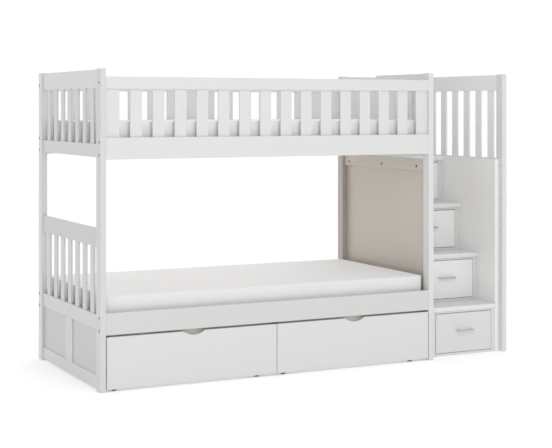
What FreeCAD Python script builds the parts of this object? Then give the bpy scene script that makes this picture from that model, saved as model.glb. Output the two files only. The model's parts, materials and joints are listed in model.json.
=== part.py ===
import FreeCAD, Part
import math
import os

# Twin-over-twin bunk bed with a drawer staircase at its right end and two roll-out drawers below.
# Millimetres, +Z up. While the pieces are drawn, X = 0 is the outer face of the left posts, Y = 0 the
# front of the bed posts and Z = 0 the floor. At the end every piece moves to the footprint's middle.

# Overall sizes
POST_HEIGHT = 1657.0
BED_LENGTH = 2024.0
BED_DEPTH = 1072.0
STAIR_WIDTH = 546.0

# Edges and fits
EDGE_EASE = 2.0
SLAT_EASE = 1.5
MOST_EASE = 0.25
FIT = 0.3
AXLE_PLAY = 0.1

# Posts
POST_THICK = 34.0
POST_WIDE = 63.0
POST_ROUND = 5.0
FOOT_CHAMFER = 3.0

# End rails and their tenons
END_RAIL_THICK = 18.0
TENON_LONG = 14.0
TENON_SHOULDER = 4.0
TENON_HEEL = 10.0
TOP_RAIL_DROP = 3.0
TOP_RAIL_HIGH = 95.0
BUNK_RAIL_HIGH = 70.0
BUNK_RAIL_ABOVE_SIDE = 10.0
HEAD_RAIL_Z = 740.0
HEAD_RAIL_HIGH = 96.0
MID_RAIL_ABOVE_SIDE = 22.0
MID_RAIL_HIGH = 76.0
BOTTOM_RAIL_Z = 12.0
BOTTOM_RAIL_HIGH = 66.0
END_SLAT_COUNT = 7
END_SLAT_WIDE = 56.0
END_SLAT_THICK = 10.0
PANEL_STILE_WIDE = 120.0
PANEL_THICK = 7.0

# Side rails, guard rails and guard slats
RAIL_INSET = 3.0
RAIL_THICK = 26.0
SIDE_RAIL_HIGH = 113.0
UPPER_RAIL_DROP = 467.0
LOWER_RAIL_Z = 291.0
GUARD_RAIL_DROP = 41.0
GUARD_RAIL_HIGH = 63.0
GUARD_SLAT_COUNT = 14
GUARD_SLAT_WIDE = 67.0
GUARD_SLAT_THICK = 11.0
GUARD_SLAT_SET = 12.0
GUARD_STILE_WIDE = 77.0

# Slatted bases and mattresses
CLEAT_SIDE = 24.0
CLEAT_RISE = 9.0
CLEAT_END_GAP = 26.0
BED_SLAT_COUNT = 12
BED_SLAT_WIDE = 75.0
BED_SLAT_THICK = 18.0
BED_SLAT_END_GAP = 2.0
MATTRESS_HIGH = 147.0
MATTRESS_END_GAP = 3.0
MATTRESS_SIDE_GAP = 17.0
MATTRESS_CORNER = 30.0
MATTRESS_CROWN = 9.0
MATTRESS_CROWN_REACH = 240.0
MATTRESS_SWELL = 6.3
MATTRESS_SWELL_REACH = 96.0
MATTRESS_EDGE_ROLL = 16.0
MATTRESS_ROLL_UP = 6.4
MATTRESS_ROLL_IN = 4.8
MATTRESS_SIDE_DRAW = 5.0

# Bolts and barrel nuts
BOLT_SPREAD = 66.0
BOLT_REACH = 45.0
BOLT_HOLE_SPARE = 5.0
HEAD_DIAMETER = 13.0
HEAD_LONG = 5.0
HEAD_SINK = 6.0
HEAD_PLAY = 1.2
SOCKET_WIDE = 6.0
SOCKET_DEEP = 3.0
SHANK_DIAMETER = 6.0
NUT_DIAMETER = 10.0
NUT_LONG = 16.0
NUT_SETBACK = 35.0

# Right end of the bed
ENTRY_WIDE = 398.0
ENTRY_STILE_WIDE = 36.0
ENTRY_SLAT_COUNT = 4
STAIR_RAIL_BELOW_TOP = 60.0
STAIR_RAIL_HIGH = 70.0
STAIR_BOLT_UP = 26.0
STAIR_BOLT_IN = 83.0
STAIR_BOLT_BITE = 12.0

# Staircase
STEP_COUNT = 4
STAIR_BELOW_RAIL = 42.0
FIRST_RISER_Y = 76.0
LANDING_DEEP = 384.0
LEFT_PANEL_THICK = 16.0
RIGHT_PANEL_THICK = 26.0
TREAD_THICK = 25.0
NOSING = 10.0
FACE_THICK = 19.0
FACE_LEFT_STILE = 46.0
FACE_RIGHT_STILE = 28.0
FACE_SILL = 15.0
FACE_HEAD = 12.0
STAIR_POST_SETBACK = 41.0
STAIR_BACK_SETBACK = 30.0
STAIR_BACK_THICK = 12.0
STAIR_GUARD_HIGH = 94.0
STAIR_BASE_RAIL_HIGH = 82.0
STAIR_BASE_RAIL_PROUD = 7.0
STAIR_SLAT_COUNT = 7
STAIR_SLAT_WIDE = 65.0
STAIR_SLAT_END_GAP = 40.5
SPARE_HOLE_DIAMETER = 8.0
SPARE_HOLE_DEEP = 14.0
SPARE_HOLE_IN = 16.0
SPARE_HOLE_DROP = 33.0

# Stair drawers
FRONT_GAP = 3.0
FRONT_THICK = 18.0
DRAWER_WALL = 12.0
DRAWER_SIDE_GAP = 2.5
DRAWER_WALL_DROP = 45.0
DRAWER_FLOOR_UP = 8.0
DRAWER_FLOOR_THICK = 6.0
DRAWER_REAR_GAP = 16.0
RUNNER_LAP = 14.0
RUNNER_OVERRUN = 8.0
PULL_LONG = 110.0
PULL_SPREAD = 96.0
PULL_DIAMETER = 10.0
PULL_LEG_DIAMETER = 8.0
PULL_ROUND = 1.6
PULL_STAND = 26.0
PULL_DROP = 102.0

# Roll-out drawers under the bed
ROLL_FRONT_SETBACK = 3.0
ROLL_FRONT_THICK = 15.0
ROLL_FRONT_Z = 12.0
ROLL_FRONT_BELOW_RAIL = 10.0
ROLL_GAP = 4.0
ROLL_BOX_INSET = 10.0
ROLL_BOX_Z = 44.0
ROLL_BOX_BELOW_FRONT = 47.0
ROLL_WALL = 14.0
ROLL_FINGER_GAP = 17.0
ROLL_WALL_ABOVE_FRONT = 5.0
ROLL_FLOOR_UP = 6.0
ROLL_FLOOR_THICK = 8.0
ROLL_REAR_GAP = 190.0
SCOOP_WIDE = 124.0
SCOOP_DEEP = 21.0

# Casters of the roll-out drawers
WHEEL_DIAMETER = 26.0
WHEEL_WIDE = 20.0
WHEEL_ROUND = 2.0
HUB_DIAMETER = 11.0
RIM_DIAMETER = 19.0
WEB_SINK = 2.5
AXLE_DIAMETER = 5.0
WHEEL_IN_LEFT = 48.0
WHEEL_IN_RIGHT = 108.0
WHEEL_FRONT_GAP = 2.0
WHEEL_REAR_GAP = 40.0
FORK_PLATE_THICK = 3.0
FORK_PLATE_LONG = 28.0
FORK_FLANGE = 10.0
FORK_CHEEK_THICK = 2.5
FORK_CHEEK_WIDE = 15.0
FORK_SIDE_GAP = 1.0

# Places worked out from the sizes above
POST_IN = POST_THICK
RIGHT_POST_X = BED_LENGTH - POST_THICK
REAR_POST_Y = BED_DEPTH - POST_WIDE
RAIL_SPAN = (POST_IN, RIGHT_POST_X)
END_SPAN = (POST_WIDE, REAR_POST_Y)
RAIL_IN = RAIL_INSET + RAIL_THICK
LEFT_END_X = ((POST_THICK - END_RAIL_THICK) / 2, (POST_THICK + END_RAIL_THICK) / 2)
RIGHT_END_X = (RIGHT_POST_X + LEFT_END_X[0], RIGHT_POST_X + LEFT_END_X[1])
TOP_RAIL_Z = (POST_HEIGHT - TOP_RAIL_DROP - TOP_RAIL_HIGH, POST_HEIGHT - TOP_RAIL_DROP)
UPPER_RAIL_Z = POST_HEIGHT - UPPER_RAIL_DROP
BUNK_RAIL_Z = UPPER_RAIL_Z + BUNK_RAIL_ABOVE_SIDE
BUNK_RAIL_SPAN = (BUNK_RAIL_Z, BUNK_RAIL_Z + BUNK_RAIL_HIGH)
HEAD_RAIL_SPAN = (HEAD_RAIL_Z, HEAD_RAIL_Z + HEAD_RAIL_HIGH)
MID_RAIL_Z = LOWER_RAIL_Z + MID_RAIL_ABOVE_SIDE
MID_RAIL_SPAN = (MID_RAIL_Z, MID_RAIL_Z + MID_RAIL_HIGH)
BOTTOM_RAIL_SPAN = (BOTTOM_RAIL_Z, BOTTOM_RAIL_Z + BOTTOM_RAIL_HIGH)
GUARD_RAIL_TOP = POST_HEIGHT - GUARD_RAIL_DROP
GUARD_RAIL_SPAN = (GUARD_RAIL_TOP - GUARD_RAIL_HIGH, GUARD_RAIL_TOP)
TOTAL_LENGTH = BED_LENGTH + STAIR_WIDTH
STAIR_POST_X = TOTAL_LENGTH - POST_THICK
STAIR_INSIDE = (BED_LENGTH + LEFT_PANEL_THICK, STAIR_POST_X - RIGHT_PANEL_THICK)
STAIR_GUARD_X = (STAIR_POST_X + LEFT_END_X[0], STAIR_POST_X + LEFT_END_X[1])
STAIR_BACK_Y = BED_DEPTH - STAIR_BACK_SETBACK - STAIR_BACK_THICK
STAIR_TOP = UPPER_RAIL_Z - STAIR_BELOW_RAIL
STEP_RISE = STAIR_TOP / STEP_COUNT
STAIR_RAIL_Z = STAIR_TOP - STAIR_RAIL_BELOW_TOP
OPENING_X = (STAIR_INSIDE[0] + FACE_LEFT_STILE, STAIR_INSIDE[1] - FACE_RIGHT_STILE)
OPENING_HIGH = STEP_RISE - TREAD_THICK - FACE_SILL - FACE_HEAD
STEP_RUN = (STAIR_BACK_Y - LANDING_DEEP - FIRST_RISER_Y) / (STEP_COUNT - 1)
DRAWER_DEEP = LANDING_DEEP - FRONT_THICK - DRAWER_REAR_GAP
ROLL_WIDE = (RAIL_SPAN[1] - RAIL_SPAN[0] - 3 * ROLL_GAP) / 2
ROLL_FRONT_TOP = LOWER_RAIL_Z - ROLL_FRONT_BELOW_RAIL
ROLL_FRONT_BACK = ROLL_FRONT_SETBACK + ROLL_FRONT_THICK
ROLL_REAR_Y = BED_DEPTH - ROLL_REAR_GAP
ROLL_FLOOR_Z = ROLL_BOX_Z + ROLL_FLOOR_UP

ALONG_X = FreeCAD.Vector(1, 0, 0)
ALONG_Y = FreeCAD.Vector(0, 1, 0)

pieces = {}
mortises = []
drillings = []


def add(name, *solids):
    """Put solids into the node of that name."""
    pieces.setdefault(name, []).extend(solids)


def block(x, y, z):
    """A plain box from three (low, high) pairs."""
    corner = FreeCAD.Vector(x[0], y[0], z[0])
    return Part.makeBox(x[1] - x[0], y[1] - y[0], z[1] - z[0], corner)


def board(x, y, z, ease=EDGE_EASE):
    """A board whose four long edges are eased."""
    solid = block(x, y, z)
    spans = [x[1] - x[0], y[1] - y[0], z[1] - z[0]]
    grain = spans.index(max(spans))
    long_edges = []
    for edge in solid.Edges:
        start, end = edge.Vertexes[0].Point, edge.Vertexes[1].Point
        if abs(end[grain] - start[grain]) > spans[grain] / 2:
            long_edges.append(edge)
    return solid.makeChamfer(min(ease, MOST_EASE * min(spans)), long_edges)


def rod(start, direction, length, diameter):
    """A round bar from start along direction."""
    return Part.makeCylinder(diameter / 2, length, FreeCAD.Vector(*start), direction)


def rod_between(x_pair, y, z, diameter):
    """A round bar along X between two places given in either order."""
    return rod((min(x_pair), y, z), ALONG_X, abs(x_pair[1] - x_pair[0]), diameter)


def spread(low, high, count, width):
    """(low, high) pairs of pieces with equal gaps between them and at both ends."""
    gap = (high - low - count * width) / (count + 1)
    starts = [low + gap + place * (width + gap) for place in range(count)]
    return [(start, start + width) for start in starts]


def mirror_y(pair):
    """The same stretch across the bed, measured from the back."""
    return (BED_DEPTH - pair[1], BED_DEPTH - pair[0])


def centred(pair, width):
    """A stretch of that width in the middle of a pair."""
    middle = (pair[0] + pair[1]) / 2
    return (middle - width / 2, middle + width / 2)


def cut_where_met(solid, tools):
    """Cut the tools that reach the solid."""
    meeting = [tool for tool in tools if tool.BoundBox.intersect(solid.BoundBox)]
    if meeting:
        solid = solid.cut(meeting)
    return solid.Solids[0]


def tenoned_rail(x, y, z):
    """An end rail with a tenon at each end. Its mortises are kept for the posts."""
    rail = board(x, y, z)
    tenon_x = (x[0] + TENON_SHOULDER, x[1] - TENON_SHOULDER)
    tenon_z = (z[0] + TENON_HEEL, z[1] - TENON_HEEL)
    for end, way in ((y[0], -1), (y[1], 1)):
        tip = end + way * TENON_LONG
        rail = rail.fuse(block(tenon_x, (min(end, tip), max(end, tip)), tenon_z))
        deep = tip + way * FIT
        mortise_x = (tenon_x[0] - FIT, tenon_x[1] + FIT)
        mortise_z = (tenon_z[0] - FIT, tenon_z[1] + FIT)
        mortises.append(block(mortise_x, (min(end, deep), max(end, deep)), mortise_z))
    return rail.removeSplitter().Solids[0]


def socket_bolt(face, way, y, z, end):
    """A bolt sunk in the face at x = face, running to x = end, with a hexagon socket in its head."""
    shoulder = face + way * HEAD_SINK
    top = shoulder - way * HEAD_LONG
    bolt = rod_between((top, shoulder), y, z, HEAD_DIAMETER)
    bolt = bolt.fuse(rod_between((shoulder, end), y, z, SHANK_DIAMETER))
    hexagon = []
    for corner in range(7):
        turn = math.radians(60 * corner)
        reach = SOCKET_WIDE / math.sqrt(3)
        hexagon.append(FreeCAD.Vector(top, y + reach * math.cos(turn), z + reach * math.sin(turn)))
    socket = Part.Face(Part.makePolygon(hexagon)).extrude(ALONG_X * (way * SOCKET_DEEP))
    drillings.append(rod_between((face, shoulder), y, z, HEAD_DIAMETER + 2 * HEAD_PLAY))
    hole_end = end + way * BOLT_HOLE_SPARE
    drillings.append(rod_between((shoulder, hole_end), y, z, SHANK_DIAMETER + 2 * FIT))
    return bolt.cut(socket).Solids[0]


def bolt_rail_ends(rail_y, z, inward):
    """Bolt both ends of a side rail through its posts into barrel nuts."""
    y = (rail_y[0] + rail_y[1]) / 2
    for face, way in ((0.0, 1), (BED_LENGTH, -1)):
        rail_end = face + way * POST_THICK
        tip = rail_end + way * BOLT_REACH
        add("bed_bolts", socket_bolt(face, way, y, z, tip))
        nut_x = rail_end + way * NUT_SETBACK
        nut = rod((nut_x, y - NUT_LONG / 2, z), ALONG_Y, NUT_LONG, NUT_DIAMETER)
        thread = rod_between((nut_x - NUT_DIAMETER, nut_x + NUT_DIAMETER), y, z, SHANK_DIAMETER + 2 * FIT)
        add("barrel_nuts", nut.cut(thread))
        hole_start = y - inward * (NUT_LONG / 2 + FIT)
        hole_end = y + inward * RAIL_THICK
        low = min(hole_start, hole_end)
        drillings.append(rod((nut_x, low, z), ALONG_Y, abs(hole_end - hole_start), NUT_DIAMETER + 2 * FIT))


def post(x, y):
    """A full-height post with rounded corners, bored and mortised for what meets it."""
    solid = block((x, x + POST_THICK), (y, y + POST_WIDE), (0.0, POST_HEIGHT))
    uprights = [edge for edge in solid.Edges if edge.Length > POST_HEIGHT - FIT]
    solid = solid.makeFillet(POST_ROUND, uprights)
    ends = [edge for edge in solid.Edges if edge.BoundBox.ZLength < FIT]
    solid = solid.makeChamfer(min(FOOT_CHAMFER, POST_ROUND / 2), ends)
    return cut_where_met(cut_where_met(solid, mortises), drillings)


def rounded_wire(x, y, z, inset, corner):
    """A rectangle with rounded corners, drawn in by inset, at height z."""
    left, right = x[0] + inset, x[1] - inset
    front, back = y[0] + inset, y[1] - inset
    radius = min(corner, (back - front) / 3)
    edges = []
    quarter = ((right, back, 0), (left, back, 90), (left, front, 180), (right, front, 270))
    ends = []
    for corner_x, corner_y, start in quarter:
        middle_x = corner_x + (radius if corner_x == left else -radius)
        middle_y = corner_y + (radius if corner_y == front else -radius)
        points = []
        for turn in (start, start + 45, start + 90):
            angle = math.radians(turn)
            across, up = radius * math.cos(angle), radius * math.sin(angle)
            points.append(FreeCAD.Vector(middle_x + across, middle_y + up, z))
        if ends:
            edges.append(Part.LineSegment(ends[-1], points[0]).toShape())
        edges.append(Part.Arc(*points).toShape())
        ends.append(points[-1])
    edges.append(Part.LineSegment(ends[-1], edges[0].Vertexes[0].Point).toShape())
    return Part.Wire(edges)


def mattress(z):
    """A mattress with a crowned top, rolled edges and sides drawn in at half height."""
    x = (POST_IN + MATTRESS_END_GAP, RIGHT_POST_X - MATTRESS_END_GAP)
    y = (RAIL_IN + MATTRESS_SIDE_GAP, BED_DEPTH - RAIL_IN - MATTRESS_SIDE_GAP)
    shoulder = MATTRESS_HIGH - MATTRESS_CROWN
    roll = MATTRESS_EDGE_ROLL
    outline = (
        (0.0, roll),
        (MATTRESS_ROLL_UP, MATTRESS_ROLL_IN),
        (roll, 0.0),
        (shoulder / 2, MATTRESS_SIDE_DRAW),
        (shoulder - roll, 0.0),
        (shoulder - MATTRESS_ROLL_UP, MATTRESS_ROLL_IN),
        (shoulder, roll),
        (shoulder + MATTRESS_SWELL, roll + MATTRESS_SWELL_REACH),
        (MATTRESS_HIGH, roll + MATTRESS_CROWN_REACH),
    )
    wires = [rounded_wire(x, y, z + up, inset, MATTRESS_CORNER) for up, inset in outline]
    return Part.makeLoft(wires, True, True)


def make_left_end():
    """Two slatted end panels over a two-panel base, all between the left posts."""
    rails = (
        ("left_upper_top_rail", TOP_RAIL_Z),
        ("left_upper_bottom_rail", BUNK_RAIL_SPAN),
        ("left_lower_top_rail", HEAD_RAIL_SPAN),
        ("left_lower_mid_rail", MID_RAIL_SPAN),
        ("left_lower_bottom_rail", BOTTOM_RAIL_SPAN),
    )
    for name, span in rails:
        add(name, tenoned_rail(LEFT_END_X, END_SPAN, span))
    slat_x = centred(LEFT_END_X, END_SLAT_THICK)
    for slat_y in spread(END_SPAN[0], END_SPAN[1], END_SLAT_COUNT, END_SLAT_WIDE):
        add("left_end_slats", board(slat_x, slat_y, (BUNK_RAIL_SPAN[1], TOP_RAIL_Z[0]), SLAT_EASE))
        add("left_end_slats", board(slat_x, slat_y, (MID_RAIL_SPAN[1], HEAD_RAIL_SPAN[0]), SLAT_EASE))
    panel_z = (BOTTOM_RAIL_SPAN[1], MID_RAIL_SPAN[0])
    stile_y = centred(END_SPAN, PANEL_STILE_WIDE)
    add("left_panel_stile", board(LEFT_END_X, stile_y, panel_z))
    panel_x = centred(LEFT_END_X, PANEL_THICK)
    for panel_y in ((END_SPAN[0], stile_y[0]), (stile_y[1], END_SPAN[1])):
        add("left_panels", block(panel_x, panel_y, panel_z))


def make_right_end():
    """The right end: a short slatted guard, the way in from the stairs and the rails between the posts."""
    stile_back = END_SPAN[1] - ENTRY_WIDE
    stile_y = (stile_back - ENTRY_STILE_WIDE, stile_back)
    guard_y = (END_SPAN[0], stile_y[0])
    add("right_end_rails", tenoned_rail(RIGHT_END_X, END_SPAN, BUNK_RAIL_SPAN))
    add("right_end_rails", tenoned_rail(RIGHT_END_X, END_SPAN, MID_RAIL_SPAN))
    add("right_guard_top_rail", tenoned_rail(RIGHT_END_X, guard_y, TOP_RAIL_Z))
    stile = board(RIGHT_END_X, stile_y, (BUNK_RAIL_SPAN[1], TOP_RAIL_Z[1]))
    add("right_guard_stile", cut_where_met(stile, mortises))
    slat_x = centred(RIGHT_END_X, END_SLAT_THICK)
    slat_z = (BUNK_RAIL_SPAN[1], TOP_RAIL_Z[0])
    for slat_y in spread(guard_y[0], guard_y[1], ENTRY_SLAT_COUNT, END_SLAT_WIDE):
        add("right_guard_slats", board(slat_x, slat_y, slat_z, SLAT_EASE))
    rail_x = (BED_LENGTH - END_RAIL_THICK, BED_LENGTH)
    rail = tenoned_rail(rail_x, END_SPAN, (STAIR_RAIL_Z, STAIR_RAIL_Z + STAIR_RAIL_HIGH))
    tip = BED_LENGTH + STAIR_BOLT_BITE
    bolt_ends = (FIRST_RISER_Y + STAIR_BOLT_IN, STAIR_BACK_Y - STAIR_BOLT_IN)
    for bolt_y in (bolt_ends[0], sum(bolt_ends) / 2, bolt_ends[1]):
        add("bed_bolts", socket_bolt(rail_x[0], 1, bolt_y, STAIR_RAIL_Z + STAIR_BOLT_UP, tip))
    add("right_stair_rail", cut_where_met(rail, drillings))


def make_side_rails():
    """Side rails, guard rails, guard slats, cleats and slatted bases along both long sides."""
    front = (RAIL_INSET, RAIL_IN)
    long_boards = (
        ("upper_side_rails", (UPPER_RAIL_Z, UPPER_RAIL_Z + SIDE_RAIL_HIGH), (-1, 1)),
        ("lower_side_rails", (LOWER_RAIL_Z, LOWER_RAIL_Z + SIDE_RAIL_HIGH), (-1, 1)),
        ("guard_top_rails", GUARD_RAIL_SPAN, (0,)),
    )
    for rail_y, inward in ((front, 1), (mirror_y(front), -1)):
        for name, rail_z, bolt_places in long_boards:
            for place in bolt_places:
                bolt_z = (rail_z[0] + rail_z[1] + place * BOLT_SPREAD) / 2
                bolt_rail_ends(rail_y, bolt_z, inward)
            add(name, cut_where_met(board(RAIL_SPAN, rail_y, rail_z), drillings))
    slat_z = (UPPER_RAIL_Z + SIDE_RAIL_HIGH, GUARD_RAIL_SPAN[0])
    slat_front = RAIL_INSET + GUARD_SLAT_SET
    inner_x = (RAIL_SPAN[0] + GUARD_STILE_WIDE, RAIL_SPAN[1] - GUARD_STILE_WIDE)
    stiles = [(RAIL_SPAN[0], inner_x[0]), (inner_x[1], RAIL_SPAN[1])]
    slats = spread(inner_x[0], inner_x[1], GUARD_SLAT_COUNT, GUARD_SLAT_WIDE)
    slat_y = (slat_front, slat_front + GUARD_SLAT_THICK)
    for side_y in (slat_y, mirror_y(slat_y)):
        for slat_x in stiles + slats:
            add("guard_slats", board(slat_x, side_y, slat_z, SLAT_EASE))


def make_bunk_base(rail_z, mattress_name):
    """Cleats, cross slats and the mattress of one bunk, above its side rails' lower edge."""
    cleat_z = (rail_z + CLEAT_RISE, rail_z + CLEAT_RISE + CLEAT_SIDE)
    cleat_x = (RAIL_SPAN[0] + CLEAT_END_GAP, RAIL_SPAN[1] - CLEAT_END_GAP)
    cleat_y = (RAIL_IN, RAIL_IN + CLEAT_SIDE)
    for side_y in (cleat_y, mirror_y(cleat_y)):
        add("slat_cleats", board(cleat_x, side_y, cleat_z))
    slat_y = (RAIL_IN + BED_SLAT_END_GAP, BED_DEPTH - RAIL_IN - BED_SLAT_END_GAP)
    slat_z = (cleat_z[1], cleat_z[1] + BED_SLAT_THICK)
    for slat_x in spread(cleat_x[0], cleat_x[1], BED_SLAT_COUNT, BED_SLAT_WIDE):
        add("bed_slats", board(slat_x, slat_y, slat_z, SLAT_EASE))
    add(mattress_name, mattress(slat_z[1]))


def make_stair_carcass():
    """Side panels, back, treads, face frames, runners and the slatted guard of the staircase."""
    panel_y = (FIRST_RISER_Y, STAIR_BACK_Y)
    panel_z = (0.0, STAIR_TOP)
    left_panel = board((BED_LENGTH, STAIR_INSIDE[0]), panel_y, panel_z)
    add("stair_left_panel", cut_where_met(left_panel, drillings))
    add("stair_right_panel", board((STAIR_INSIDE[1], STAIR_POST_X), panel_y, panel_z))
    guard_z = (POST_HEIGHT - TOP_RAIL_DROP - STAIR_GUARD_HIGH, POST_HEIGHT - TOP_RAIL_DROP)
    back_y = (STAIR_BACK_Y, STAIR_BACK_Y + STAIR_BACK_THICK)
    add("stair_back_panel", block((BED_LENGTH, STAIR_POST_X), back_y, (0.0, guard_z[0])))
    add("stair_back_rail", board((BED_LENGTH, STAIR_POST_X), centred(back_y, END_RAIL_THICK), guard_z))
    for step in range(STEP_COUNT):
        make_step(step)
    make_stair_guard(guard_z)


def make_step(step):
    """One step: its drawer opening's face frame, its tread, its drawer and the drawer's runners."""
    floor_z = step * STEP_RISE
    riser_y = FIRST_RISER_Y + step * STEP_RUN
    top_z = floor_z + STEP_RISE
    face_y = (riser_y, riser_y + FACE_THICK)
    face_z = (floor_z, top_z - TREAD_THICK)
    sill_z = floor_z + FACE_SILL
    head_z = face_z[1] - FACE_HEAD
    frame = "stair_face_frame"
    add(frame, board((STAIR_INSIDE[0], OPENING_X[0]), face_y, face_z, SLAT_EASE))
    add(frame, board((OPENING_X[1], STAIR_INSIDE[1]), face_y, face_z, SLAT_EASE))
    add(frame, board(OPENING_X, face_y, (floor_z, sill_z), SLAT_EASE))
    add(frame, board(OPENING_X, face_y, (head_z, face_z[1]), SLAT_EASE))
    is_top = step == STEP_COUNT - 1
    tread_back = STAIR_BACK_Y if is_top else riser_y + STEP_RUN + FACE_THICK
    tread_y = (riser_y - NOSING, tread_back)
    add("stair_treads", board(STAIR_INSIDE, tread_y, (top_z - TREAD_THICK, top_z)))
    runner_y = (face_y[1], riser_y + FRONT_THICK + DRAWER_DEEP + RUNNER_OVERRUN)
    for runner_x in (
        (STAIR_INSIDE[0], OPENING_X[0] + RUNNER_LAP),
        (OPENING_X[1] - RUNNER_LAP, STAIR_INSIDE[1]),
    ):
        add("stair_runners", board(runner_x, runner_y, (floor_z, sill_z), SLAT_EASE))
    make_stair_drawer(step + 1, riser_y, sill_z)


def make_stair_drawer(number, riser_y, sill_z):
    """A drawer with an inset front, a bar pull and a box that slides on two runners."""
    name = "stair_drawer_%d" % number
    front_x = (OPENING_X[0] + FRONT_GAP, OPENING_X[1] - FRONT_GAP)
    front_z = (sill_z + FRONT_GAP, sill_z + OPENING_HIGH - FRONT_GAP)
    front_y = (riser_y, riser_y + FRONT_THICK)
    add(name + "_front", board(front_x, front_y, front_z))
    box_x = (OPENING_X[0] + DRAWER_SIDE_GAP, OPENING_X[1] - DRAWER_SIDE_GAP)
    box_y = (front_y[1], front_y[1] + DRAWER_DEEP)
    box_z = (sill_z + FIT, sill_z + FIT + OPENING_HIGH - DRAWER_WALL_DROP)
    floor_z = (box_z[0] + DRAWER_FLOOR_UP, box_z[0] + DRAWER_FLOOR_UP + DRAWER_FLOOR_THICK)
    add_box(name + "_box", box_x, box_y, box_z, floor_z, DRAWER_WALL)
    pull_z = front_z[1] - PULL_DROP
    pull_y = front_y[0] - PULL_STAND
    bar_x = centred(front_x, PULL_LONG)
    pull = rod((bar_x[0], pull_y, pull_z), ALONG_X, PULL_LONG, PULL_DIAMETER)
    rims = [edge for edge in pull.Edges if edge.BoundBox.XLength < FIT]
    pull = pull.makeFillet(PULL_ROUND, rims)
    for leg_x in centred(front_x, PULL_SPREAD):
        pull = pull.fuse(rod((leg_x, pull_y, pull_z), ALONG_Y, PULL_STAND, PULL_LEG_DIAMETER))
    add(name + "_pull", pull.removeSplitter().Solids[0])


def add_box(name, x, y, z, floor_z, wall):
    """The sides, back and floor of a drawer whose front is another piece."""
    inner_x = (x[0] + wall, x[1] - wall)
    add(name, board((x[0], inner_x[0]), y, z, SLAT_EASE))
    add(name, board((inner_x[1], x[1]), y, z, SLAT_EASE))
    add(name, board(inner_x, (y[1] - wall, y[1]), z, SLAT_EASE))
    add(name, block(inner_x, (y[0], y[1] - wall), floor_z))


def make_stair_guard(guard_z):
    """The slatted guard between the stair posts, and the posts themselves."""
    guard_y = (STAIR_POST_SETBACK + POST_WIDE, REAR_POST_Y)
    base_top = STAIR_TOP + STAIR_BASE_RAIL_PROUD
    base_z = (base_top - STAIR_BASE_RAIL_HIGH, base_top)
    add("stair_guard_rails", tenoned_rail(STAIR_GUARD_X, guard_y, guard_z))
    add("stair_guard_rails", tenoned_rail(STAIR_GUARD_X, guard_y, base_z))
    slat_x = centred(STAIR_GUARD_X, END_SLAT_THICK)
    row_y = (guard_y[0] + STAIR_SLAT_END_GAP, guard_y[1] - STAIR_SLAT_END_GAP)
    pitch = (row_y[1] - row_y[0] - STAIR_SLAT_WIDE) / (STAIR_SLAT_COUNT - 1)
    for place in range(STAIR_SLAT_COUNT):
        slat_low = row_y[0] + place * pitch
        slat_y = (slat_low, slat_low + STAIR_SLAT_WIDE)
        add("stair_guard_slats", board(slat_x, slat_y, (base_z[1], guard_z[0]), SLAT_EASE))
    for hole_y in (STAIR_POST_SETBACK + SPARE_HOLE_IN, BED_DEPTH - SPARE_HOLE_IN):
        for hole_z in (POST_HEIGHT - SPARE_HOLE_DROP, STAIR_TOP - SPARE_HOLE_DROP):
            hole = rod((STAIR_POST_X, hole_y, hole_z), ALONG_X, SPARE_HOLE_DEEP, SPARE_HOLE_DIAMETER)
            drillings.append(hole)
    add("stair_post_front", post(STAIR_POST_X, STAIR_POST_SETBACK))
    add("stair_post_back", post(STAIR_POST_X, REAR_POST_Y))


def make_roll_drawer(name, low_x):
    """A roll-out drawer: scooped front, open box, a wall behind the finger gap and four fixed casters."""
    front_x = (low_x, low_x + ROLL_WIDE)
    front_z = (ROLL_FRONT_Z, ROLL_FRONT_TOP)
    front = board(front_x, (ROLL_FRONT_SETBACK, ROLL_FRONT_BACK), front_z)
    radius = (SCOOP_WIDE ** 2 / 4 + SCOOP_DEEP ** 2) / (2 * SCOOP_DEEP)
    middle = (front_x[0] + front_x[1]) / 2
    scoop_start = (middle, ROLL_FRONT_SETBACK - FIT, front_z[1] - SCOOP_DEEP + radius)
    front = front.cut(rod(scoop_start, ALONG_Y, ROLL_FRONT_THICK + 2 * FIT, 2 * radius))
    add(name + "_front", front.Solids[0])
    box_x = (front_x[0] + ROLL_BOX_INSET, front_x[1] - ROLL_BOX_INSET)
    box_z = (ROLL_BOX_Z, ROLL_FRONT_TOP - ROLL_BOX_BELOW_FRONT)
    floor_z = (ROLL_FLOOR_Z, ROLL_FLOOR_Z + ROLL_FLOOR_THICK)
    add_box(name + "_box", box_x, (ROLL_FRONT_BACK, ROLL_REAR_Y), box_z, floor_z, ROLL_WALL)
    inner_x = (box_x[0] + ROLL_WALL, box_x[1] - ROLL_WALL)
    wall_y = (ROLL_FRONT_BACK + ROLL_FINGER_GAP, ROLL_FRONT_BACK + ROLL_FINGER_GAP + ROLL_WALL)
    wall_top = front_z[1] + ROLL_WALL_ABOVE_FRONT
    add(name + "_box", board(inner_x, wall_y, (floor_z[1], wall_top), SLAT_EASE))
    wheel_xs = (front_x[0] + WHEEL_IN_LEFT, front_x[1] - WHEEL_IN_RIGHT)
    axle_rows = (
        ("front", ROLL_FRONT_BACK + WHEEL_FRONT_GAP + WHEEL_DIAMETER / 2),
        ("rear", ROLL_REAR_Y - WHEEL_REAR_GAP - WHEEL_DIAMETER / 2),
    )
    for row, axle_y in axle_rows:
        for wheel_x in wheel_xs:
            add(name + "_caster_forks", caster_fork(wheel_x, axle_y))
            add("%s_%s_wheels" % (name, row), caster_wheel(wheel_x, axle_y))


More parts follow.
